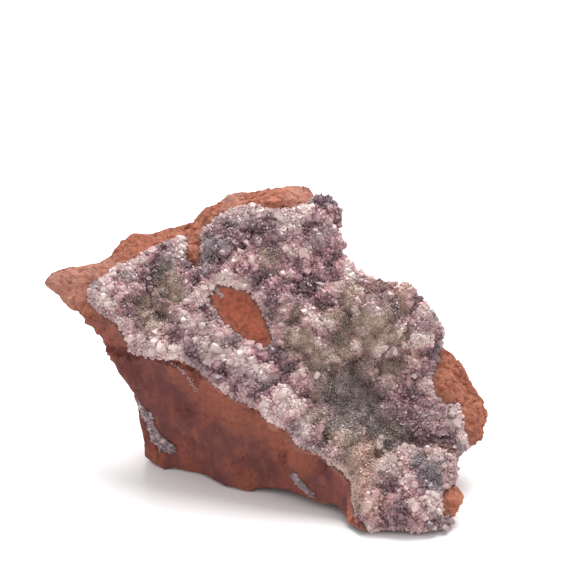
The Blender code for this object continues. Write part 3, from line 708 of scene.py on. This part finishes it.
for vert in ground.verts:
    zones = zones_at(vert.co)
    fine = max(zones["olive"], zones["dark"])
    from_rim = min(1.0, rim_finder.find(vert.co)[2] / TAPER)
    ball = dome(vert.co, DRUSE_BALLS[0])
    cluster = dome(vert.co, CLUSTERS[0])
    spot = shows_at(vert.co)
    large = roundness(spot)
    on_rim, in_recess = share_of(spot, LOBE_RIM), share_of(spot, RECESS)
    lift = LOBE_SWELL * on_rim - RECESS_DEPTH * in_recess * (1.0 - on_rim) + dome(vert.co, BUDS[0]) * BUDS[1]
    lift += ball * DRUSE_BALLS[1] * fine + cluster * CLUSTERS[1] * (1.0 - fine) + large * ROUND_RISE
    facing = vert.normal.dot(ahead) * (1 if vert in top_verts else -1)
    lift *= min(1.0, max(SIDE_LIFT, SIDE_LIFT - FACING_LIFT * facing))
    sheet_top = GROUND_THICKNESS * (RIM_THICKNESS + (1.0 - RIM_THICKNESS) * from_rim)
    top = max(THINNEST, sheet_top + lift * (RIM_LIFT + (1.0 - RIM_LIFT) * from_rim))
    if vert in top_verts:
        moves.append((vert, normal_of([face for face in vert.link_faces if face in top_faces]) * top))
    else:
        sink = GROUND_SINK if from_rim else 0.0
        moves.append((vert, normal_of([face for face in vert.link_faces if face not in top_faces]) * sink))
    zones["pale"] = max(zones["pale"], RIM_PALENESS * (1.0 - 2.0 * from_rim))
    # The lobe's rim is paler, partly its own cream and peach and partly painted light; the recess above it
    # gets painted shade
    for name, strength in RIM_TINTS_AND_LIGHT.items():
        zones[name] = max(zones[name], strength * on_rim * (1.0 - zones["blue"]))
    zones["dark"] = max(zones["dark"], RECESS_PAINTED_SHADE * in_recess * (1.0 - on_rim))
    # Painted light and shade: the tops of the balls and clusters are lighter and the creases darker, the
    # large balls lighter towards their middles, and the tops whiter through the tip share
    height = ball * fine + cluster * (1.0 - fine)
    painted_light_and_shade = CREASE_SHADE_AND_TOP_LIGHT * (height - HEIGHT_MIDDLE)
    zones["tone"] = tone_at(vert.co) - GROUND_DARKER + painted_light_and_shade + BALL_PAINTED_LIGHT * large
    zones["tip"] = height * GROUND_PAINTED_HIGHLIGHT
    for name, value in zones.items():
        ground_values[name].append(value)
for vert, move in moves:
    vert.co += move
    vert.co.z = max(vert.co.z, LOWEST)
ground.normal_update()
ground.verts.index_update()

# The triangles that crystals grow on: corners, normal, area and first vertex, always in the same order
growing = []
for face in ground.faces:
    if face not in bed_faces:
        corners = sorted(face.verts, key=lambda vert: vert.index)[:3]
        places = [vert.co.copy() for vert in corners]
        growing.append((places, face.normal.copy(), face.calc_area(), corners[0].index))
growing.sort(key=lambda triangle: (triangle[3], *triangle[0][1], *triangle[0][2]))
ground_surface = BVHTree.FromBMesh(ground)

NEAR_WHITE = (0.82, 0.655, 0.62)
PALE_PINK = (0.64, 0.350, 0.365)
MAUVE = (0.34, 0.135, 0.170)
DEEP_PURPLE = (0.115, 0.035, 0.060)
OLIVE_BROWN = (0.150, 0.093, 0.062)
OLIVE_PALE = (0.36, 0.245, 0.165)
DARK_GREY = (0.100, 0.076, 0.062)
BLUE_GREY = (0.170, 0.155, 0.185)
PEACH_TINT = (0.60, 0.34, 0.26)
CLOUDINESS = 0.70

# The sugary sparkle of crystals too fine to model: size and depth
SUGAR = (0.42 * MM, 0.22 * MM)
SUGAR_STRENGTH = 0.8


def druse_colour(tree, where):
    """The crust's colour, from what the mesh keeps and from patches that run across the crystals."""
    cloudy = tree.nodes.new("ShaderNodeMath")
    cloudy.operation = "MULTIPLY_ADD"
    cloudy.inputs[1].default_value = CLOUDINESS
    clouds = patches(tree, where, size=1.7 * MM, low=0.30, high=0.70, detail=4.0)
    tree.links.new(clouds, cloudy.inputs[0])
    tree.links.new(stored(tree, "tone"), cloudy.inputs[2])
    ramp = tree.nodes.new("ShaderNodeValToRGB")
    tree.links.new(cloudy.outputs[0], ramp.inputs["Fac"])
    stops = ramp.color_ramp.elements
    for stop, position, tint in ((stops[0], 0.05, DEEP_PURPLE), (stops[1], 0.95, NEAR_WHITE)):
        stop.position = position
        stop.color = (*tint, 1.0)
    for position, tint in ((0.36, MAUVE), (0.64, PALE_PINK)):
        stops.new(position).color = (*tint, 1.0)
    olive = blend_colours(tree, cloudy.outputs[0], OLIVE_BROWN, OLIVE_PALE)
    colour = blend_colours(tree, stored(tree, "olive", share=0.9), ramp.outputs["Color"], olive)
    # The tip share is a painted highlight on the tops of the balls and the ends of the crystals; the dark
    # share is partly painted shade in the hollow and the recess
    for name, share, tint in (
        ("purple", 0.55, DEEP_PURPLE), ("dark", 0.85, DARK_GREY), ("blue", 0.65, BLUE_GREY),
        ("peach", 0.5, PEACH_TINT), ("pale", 0.65, NEAR_WHITE), ("tip", 0.18, NEAR_WHITE),
    ):
        colour = blend_colours(tree, stored(tree, name, share), colour, tint)
    return colour


ground_finish, tree, shader, where = new_material("druse_ground")
tree.links.new(druse_colour(tree, where), shader.inputs["Base Color"])
shader.inputs["Roughness"].default_value = 0.42
shader.inputs["IOR"].default_value = 1.6
sugar = tree.nodes.new("ShaderNodeTexVoronoi")
sugar.inputs["Scale"].default_value = 1.0 / SUGAR[0]
tree.links.new(where, sugar.inputs["Vector"])
sparkle = tree.nodes.new("ShaderNodeBump")
sparkle.inputs["Strength"].default_value = SUGAR_STRENGTH
sparkle.inputs["Distance"].default_value = SUGAR[1]
tree.links.new(sugar.outputs["Distance"], sparkle.inputs["Height"])
tree.links.new(sparkle.outputs["Normal"], shader.inputs["Normal"])

ground_mesh = mesh_of("druse_ground", ground)
for name, values in ground_values.items():
    store(ground_mesh, name, values)
finished_piece("druse_ground", ground_mesh, ground_finish, "adamite", "adamite_crust")

# The adamite crystals
# Small glassy crystals grown together over the ground: blocky mauve and white ones up to 2.5 mm, and a
# fine olive-grey druse on the balls. Each is a short prism with a chisel or a blunt point.

CELL = 1.6 * MM
BATCH = 150

# The families of crystals: the length is in widths of a crystal, and the sink, which is below 0 where the
# foot is buried, in lengths
BLOCKS = {
    "spacing": 1.55 * MM, "tries": 12000, "length": (0.8, 1.4), "tilt": 0.90, "sink": -0.20, "variety": 0.08,
}
PRISMS = {
    "spacing": 0.76 * MM, "tries": 40000, "length": (0.8, 1.7), "tilt": 0.80, "sink": -0.14, "variety": 0.08,
}
DRUSE = {
    "spacing": 0.45 * MM, "tries": 80000, "length": (0.6, 1.2), "tilt": 0.50, "sink": -0.02, "variety": 0.05,
}
USUAL_WIDTH = (0.85, 1.45)
FLATTENING = (0.6, 1.0)
CRYSTAL_LIGHTER = 0.04

# How the families share the crust: in groups, away from the rim, and by how fine the druse is
BLOCK_GROUPS = (5.0 * MM, 0.6)
BLOCKS_UP_TO = 0.25
BLOCKS_FROM_RIM = TAPER / 3
PRISM_GROUPS = (2.5 * MM, 0.5)
PRISMS_UP_TO = 0.5
DRUSE_LOOSER = 0.35

# A crystal of one unit: the radius of its foot and of its shoulder, how high the shoulder lies, how far
# the point rises above it, and how level a face counts as the end
FOOT_RADIUS = 0.44
SHOULDER_RADIUS = 0.5
SHOULDER = 0.7
POINT = 0.3
LEVEL = 0.9

# The kinds of crystals: sides, and how wide and how deep the point is
KINDS = [
    (4, 0.80, 0.15), (4, 0.42, 0.42), (4, 0.95, 0.30), (6, 0.70, 0.25), (4, 0.85, 0.60), (5, 0.45, 0.30),
]

chance = random.Random(11)


def crystal_shape(sides, point_width, point_depth):
    """One crystal, one unit wide and long: a prism whose end is drawn in to a chisel or a blunt point."""
    shape = bmesh.new()
    bmesh.ops.create_cone(
        shape, cap_ends=True, cap_tris=False, segments=sides, radius1=FOOT_RADIUS, radius2=SHOULDER_RADIUS,
        depth=SHOULDER,
    )
    end = [face for face in shape.faces if face.normal.z > LEVEL]
    point = bmesh.ops.extrude_face_region(shape, geom=end)
    tip = [item for item in point["geom"] if isinstance(item, bmesh.types.BMVert)]
    bmesh.ops.translate(shape, verts=tip, vec=(0.0, 0.0, POINT))
    bmesh.ops.scale(shape, verts=tip, vec=(point_width, point_depth, 1.0))
    bmesh.ops.recalc_face_normals(shape, faces=shape.faces)
    return mesh_of("crystal_shape", shape)


shapes = [crystal_shape(*kind) for kind in KINDS]


def scattered(triangles, spacing_for, tries):
    """Spots on triangles, at random but no closer than a rule allows: place, normal, spacing and vertex."""
    areas = [triangle[2] for triangle in triangles]
    cells = {}
    spots = []
    for (first, second, third), normal, area, corner in chance.choices(triangles, weights=areas, k=tries):
        u, v = sorted((chance.random(), chance.random()))
        place = first * u + second * (v - u) + third * (1.0 - v)
        spacing = spacing_for(place, corner)
        if not spacing:
            continue
        key = tuple(math.floor(value / CELL) for value in place)
        near = (
            other
            for dx in (-1, 0, 1) for dy in (-1, 0, 1) for dz in (-1, 0, 1)
            for other in cells.get((key[0] + dx, key[1] + dy, key[2] + dz), ())
        )
        if any((other[0] - place).length < min(spacing, other[2]) for other in near):
            continue
        spot = (place, normal, spacing, corner)
        cells.setdefault(key, []).append(spot)
        spots.append(spot)
    return spots


def no_tint(place):
    """The crust's own colours."""
    return {}


def grown(name, spots, family, width=USUAL_WIDTH, tint=no_tint):
    """The crystals on some spots as one mesh, with what each vertex keeps for its material."""
    crystals = bmesh.new()
    batch = bmesh.new()
    values = {key: [] for key in ground_values}
    for number, (place, normal, spacing, corner) in enumerate(spots):
        across = spacing * chance.uniform(*width)
        length = across * chance.uniform(*family["length"])
        lean = Vector([chance.gauss(0.0, family["tilt"]) for _ in range(3)])
        turn = (normal + lean).normalized().to_track_quat("Z", "Y").to_matrix().to_4x4()
        spin = Matrix.Rotation(chance.uniform(0, math.tau), 4, "Z")
        size = Matrix.Diagonal((across * chance.uniform(*FLATTENING), across, length, 1.0))
        shape = chance.choice(shapes).copy()
        # Painted highlight: each crystal is whiter towards its end, by its height kept as the tip share
        heights = [vert.co.z + SHOULDER / 2 for vert in shape.vertices]
        shape.transform(Matrix.Translation(place + normal * length * family["sink"]) @ turn @ spin @ size)
        lowest = min(vert.co.z for vert in shape.vertices)
        if lowest < 0.0:
            shape.transform(Matrix.Translation((0.0, 0.0, -lowest)))
        batch.from_mesh(shape)
        bpy.data.meshes.remove(shape)
        if number % BATCH == BATCH - 1 or number == len(spots) - 1:
            joined = mesh_of("joined", batch)
            crystals.from_mesh(joined)
            bpy.data.meshes.remove(joined)
            batch = bmesh.new()
        zones = {key: kept[corner] for key, kept in ground_values.items() if key != "tip"}
        zones["tone"] += chance.gauss(CRYSTAL_LIGHTER, family["variety"])
        zones.update(tint(place))
        for key, value in zones.items():
            values[key] += [value] * len(heights)
        values["tip"] += heights
    batch.free()
    mesh = mesh_of(name, crystals)
    for key, kept in values.items():
        store(mesh, key, kept)
    return mesh


def fine_share(corner):
    """How much of the fine druse there is at a vertex of the ground."""
    return max(ground_values["olive"][corner], ground_values["dark"][corner])


def block_spacing(place, corner):
    """Blocks stand only where the crust is coarse, and in groups."""
    if fine_share(corner) > BLOCKS_UP_TO or rim_finder.find(place)[2] < BLOCKS_FROM_RIM:
        return None
    return BLOCKS["spacing"] * (1.0 + waves(place, *BLOCK_GROUPS))


def prism_spacing(place, corner):
    """Prisms stand everywhere but on the fine druse."""
    if fine_share(corner) > PRISMS_UP_TO:
        return None
    return PRISMS["spacing"] * (1.0 + waves(place, *PRISM_GROUPS))


def druse_spacing(place, corner):
    """The fine druse is densest where nothing else grows."""
    return DRUSE["spacing"] * (1.0 + DRUSE_LOOSER - DRUSE_LOOSER * fine_share(corner))


crystal_finish, tree, shader, where = new_material("adamite")
tree.links.new(druse_colour(tree, where), shader.inputs["Base Color"])
shader.inputs["Roughness"].default_value = 0.34
shader.inputs["IOR"].default_value = 1.72
shader.inputs["Transmission Weight"].default_value = 0.32

for name, family, spacing_for in (
    ("adamite_blocks", BLOCKS, block_spacing), ("adamite_prisms", PRISMS, prism_spacing),
    ("adamite_druse", DRUSE, druse_spacing),
):
    spots = scattered(growing, spacing_for, family["tries"])
    crystals = grown(name, spots, family)
    finished_piece(name, crystals, crystal_finish, "adamite", "adamite_crust")

# The single crystals that stand out, by where they show in the picture: across, down and size in mm
SINGLES = [
    (316, 378, 1.5), (382, 440, 1.6), (394, 353, 2.0), (413, 374, 1.7), (284, 222, 2.2), (292, 230, 1.6),
    (456, 424, 2.4), (452, 414, 1.7), (218, 352, 2.2), (232, 362, 1.7), (122, 258, 1.8), (128, 272, 1.3),
    (92, 292, 1.5), (431, 527, 1.6), (400, 492, 1.4), (412, 505, 1.8), (421, 499, 1.5), (437, 512, 1.8),
    (425, 516, 1.6), (205, 348, 1.6), (300, 372, 1.4),
]
SINGLE = {"length": (0.9, 1.3), "tilt": 0.5, "sink": 0.12, "variety": 0.08}
SINGLE_WIDTH = (0.95, 1.05)

# The vertex of the ground that a spot names when its colours come from a tint: only what the tint leaves
# out is read there
ANY_VERTEX = 0


def clear_white(place):
    """The colours of the single crystals."""
    return {"pale": 0.9, "tone": 0.9, "olive": 0.0, "dark": 0.0}


single_spots = []
for across, down, size in SINGLES:
    place, normal = ground_surface.ray_cast(eye, line_of_sight(across, down))[:2]
    if place:
        single_spots.append((place, normal, size * MM, ANY_VERTEX))
singles = grown("adamite_singles", single_spots, SINGLE, SINGLE_WIDTH, clear_white)
finished_piece("adamite_singles", singles, crystal_finish, "adamite", "adamite_crust")

# The veins
# Two cracks in the broken face that filled with fine blue-grey adamite: a thin rough sheet of crystals in
# each, level with the rock. Two threads of tiny grey crystals also grew straight on the bare rock.

VEIN_DRUSE = {"length": (0.6, 1.1), "tilt": 0.6, "sink": -0.1, "variety": 0.08}
VEIN_SPACING = 0.46 * MM
VEIN_TRIES = 4000
VEIN_EDGE = 0.5 * MM
VEIN_SOFTENING = 0.6
VEIN_GAPS = (1.3 * MM, 1.0)
GAP_BELOW = -0.02
DARK_SPOTS = (1.4 * MM, 2.5)
PALE_THREADS = (2.2 * MM, 9.0)
THREADS_APART = Vector((5.0, 5.0, 5.0))

# The two threads of crystals, as lines in the picture: how many crystals, how far they stray from the line
# in pixels, and their sizes in mm
STREAK = [(158, 354), (172, 362), (183, 372), (191, 382), (198, 391)]
SLIVER = [(203, 282), (210, 286), (217, 291), (224, 297)]
THREADS = (("face_streak", STREAK, 90, 1.2, (0.2, 0.45)), ("bare_patch_sliver", SLIVER, 40, 1.3, (0.4, 0.8)))
THREAD_DRUSE = {"length": (0.6, 1.0), "tilt": 0.8, "sink": -0.25, "variety": 0.08}


def vein_tint(place):
    """The vein is blue-grey, with dark spots and pale threads."""
    dark = limited(0.5 + waves(place, *DARK_SPOTS))
    pale = limited(1.0 - PALE_THREADS[1] * abs(noise.noise(place / PALE_THREADS[0] + THREADS_APART)))
    return {
        "olive": 0.0, "dark": dark * (1.0 - pale), "blue": 1.0 - pale, "pale": 0.6 * pale, "peach": 0.0,
        "purple": 0.0, "tone": 0.3,
    }


def thread_tint(place):
    """The thin threads of crystals on the bare rock are grey."""
    return {"olive": 0.0, "dark": 0.2, "blue": 0.5, "pale": 0.3, "tone": 0.5}


def vein_spacing(place, corner):
    """The vein's crystals stand in groups, with dark gaps between."""
    return None if waves(place, *VEIN_GAPS) < GAP_BELOW else VEIN_SPACING


for node, name in (("left_vein", "left_vein_druse"), ("underside_vein", "underside_vein_druse")):
    vein = merged_copy(node)
    halve_long_edges(vein, lambda edge: VEIN_EDGE)
    soften(vein, vein.verts, VEIN_SOFTENING)
    vein.normal_update()
    filling = []
    for face in vein.faces:
        places = [vert.co.copy() for vert in face.verts]
        filling.append((places, face.normal.copy(), face.calc_area(), ANY_VERTEX))
    spots = scattered(filling, vein_spacing, VEIN_TRIES)
    crystals = grown(name, spots, VEIN_DRUSE, tint=vein_tint)
    finished_piece(name, crystals, crystal_finish, "vein_adamite", node)
    sheet = mesh_of(node + "_sheet", vein)
    tints = [vein_tint(vert.co) for vert in sheet.vertices]
    for key in ground_values:
        store(sheet, key, [tint.get(key, 0.0) for tint in tints])
    finished_piece(node + "_sheet", sheet, ground_finish, "vein_adamite", node)


def along(line, count, spread, size):
    """Spots on the rock along a line of the picture, spread a little to both sides."""
    spots = []
    for _ in range(count):
        (x0, y0), (x1, y1) = chance.choice(list(zip(line, line[1:])))
        share = chance.random()
        across = x0 + (x1 - x0) * share + chance.gauss(0.0, spread)
        down = y0 + (y1 - y0) * share + chance.gauss(0.0, spread)
        place, normal = rock_skin.ray_cast(eye, line_of_sight(across, down))[:2]
        if place:
            spots.append((place, normal, chance.uniform(*size) * MM, ANY_VERTEX))
    return spots


for name, line, count, spread, size in THREADS:
    thread = grown(name, along(line, count, spread, size), THREAD_DRUSE, tint=thread_tint)
    finished_piece(name, thread, crystal_finish, "adamite")
